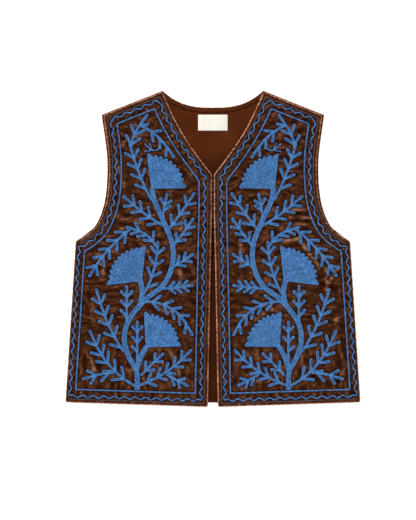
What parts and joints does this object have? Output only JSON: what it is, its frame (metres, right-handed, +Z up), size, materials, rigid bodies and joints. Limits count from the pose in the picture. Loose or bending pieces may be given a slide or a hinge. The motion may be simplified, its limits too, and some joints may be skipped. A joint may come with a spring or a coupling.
{
  "type": "embroidered waistcoat laid flat",
  "caption": "Sleeveless velvet waistcoat with an open V neck front, lying flat on its back, with raised chain stitch vines, fan flowers and leafy sprigs on both fronts.",
  "frame": {"origin": "on the surface that the waistcoat lies on, under the middle of its box", "axes": "+Y from the hem to the neck, +X to the right as the fronts are seen from above, +Z up out of the fronts"},
  "size_m": [0.532, 0.57, 0.0086],
  "materials": {
    "velvet": "crushed brown velvet",
    "lining": "plain woven brown lining",
    "thread": "blue cotton chain stitch",
    "label_cloth": "plain cream ribbon"
  },
  "bodies": {
    "root": {"back": "velvet", "back_lining": "lining", "neck_facing": "lining", "label": "label_cloth", "front_left": "velvet", "front_right": "velvet", "stem_left": "thread", "stem_right": "thread", "stalk_low_left": "thread", "stalk_low_right": "thread", "stalk_middle_left": "thread", "stalk_middle_right": "thread", "fan_low_left": "thread", "fan_low_right": "thread", "fan_middle_left": "thread", "fan_middle_right": "thread", "fan_top_left": "thread", "fan_top_right": "thread"}
  },
  "joints": []
}
